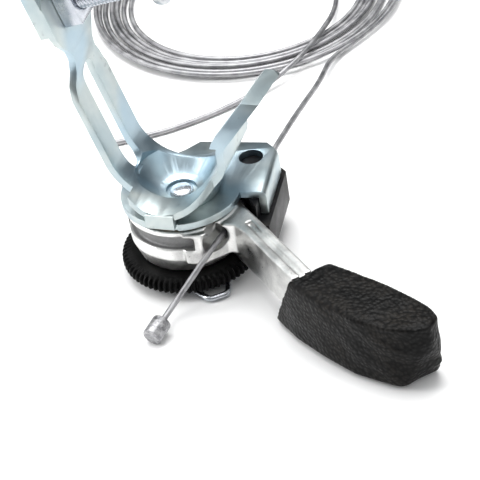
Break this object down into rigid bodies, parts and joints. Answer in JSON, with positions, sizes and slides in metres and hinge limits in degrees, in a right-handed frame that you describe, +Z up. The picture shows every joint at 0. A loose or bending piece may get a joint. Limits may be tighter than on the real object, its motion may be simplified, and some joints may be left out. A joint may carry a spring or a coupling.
{
  "type": "thumb shifter",
  "caption": "Friction thumb shifter: slotted strap clamp, riveted plate, lever with soft paddle, ribbed tension knob with folding ring, and coiled inner cable.",
  "frame": {"origin": "where the handlebar's axis crosses the lever's pivot axis, in the middle of the round clamp seat", "axes": "+X across the band from the slotted strap to the pointed arm, +Y along the handlebar towards the cable outlet, +Z up, away from the tension knob"},
  "size_m": [0.1203, 0.1746, 0.0732],
  "materials": {
    "zinc_steel": "bright zinc plate",
    "housing_black": "satin black moulding",
    "stud_steel": "turned",
    "friction_fibre": "matt fibre",
    "washer_steel": "stamped",
    "spring_steel": "dark spring steel",
    "bush_brass": "turned",
    "lever_alloy": "polished casting",
    "paddle_vinyl": "grained soft cover",
    "knob_black": "ribbed moulding",
    "screw_steel": "zinc plated",
    "ring_wire": "bent wire",
    "nut_steel": "zinc plated",
    "cable_steel": "stranded wire",
    "nipple_alloy": "cast zinc"
  },
  "bodies": {
    "bracket": {"clamp_band": "zinc_steel", "base_plate": "zinc_steel", "housing_cover": "housing_black", "pivot_stud": "stud_steel", "upper_friction_washer": "friction_fibre", "lower_friction_washer": "friction_fibre", "keyed_washer": "washer_steel", "cone_spring": "spring_steel", "clamp_nut": "nut_steel", "cable_run": "cable_steel", "cable_coil": "cable_steel", "cable_loose_end": "cable_steel"},
    "lever_arm": {"lever": "lever_alloy", "lever_bush": "bush_brass", "paddle_cover": "paddle_vinyl", "cable_nipple": "nipple_alloy", "cable_tail": "cable_steel"},
    "knob_carrier": {"thrust_washer": "washer_steel"},
    "knob": {"friction_knob": "knob_black", "tension_screw": "screw_steel"},
    "folding_ring": {"d_ring": "ring_wire"},
    "clamp_screw_carrier": {"clamp_washer": "washer_steel"},
    "clamp_screw_shaft": {"clamp_screw": "screw_steel"}
  },
  "joints": [
    {"name": "lever_pivot", "type": "hinge", "parent": "bracket", "child": "lever_arm", "pos_m": [0, 0, -0.0218], "axis": [0, 0, 1], "range_deg": [-110, 0]},
    {"name": "tension_screw_slide", "type": "slide", "parent": "bracket", "child": "knob_carrier", "axis": [0, 0, -1], "range_m": [0, 0.0015]},
    {"name": "tension_screw_turn", "type": "hinge", "parent": "knob_carrier", "child": "knob", "pos_m": [0, 0, -0.0288], "axis": [0, 0, -1], "range_deg": [0, 720]},
    {"name": "ring_fold", "type": "hinge", "parent": "knob", "child": "folding_ring", "pos_m": [0, 0, -0.0314], "axis": [0.788, 0.6157, 0], "range_deg": [0, 175]},
    {"name": "clamp_screw_slide", "type": "slide", "parent": "bracket", "child": "clamp_screw_carrier", "axis": [0.9613, 0, 0.2756], "range_m": [-0.0015, 0.0031]},
    {"name": "clamp_screw_turn", "type": "hinge", "parent": "clamp_screw_carrier", "child": "clamp_screw_shaft", "pos_m": [-0.01757, 0, 0.03001], "axis": [0.9613, 0, 0.2756], "range_deg": [-720, 1440]}
  ],
  "couplings": [
    {"joint": "tension_screw_turn", "follows": "tension_screw_slide", "rad_per_m": 7853.9},
    {"joint": "clamp_screw_turn", "follows": "clamp_screw_slide", "rad_per_m": 7853.9}
  ]
}
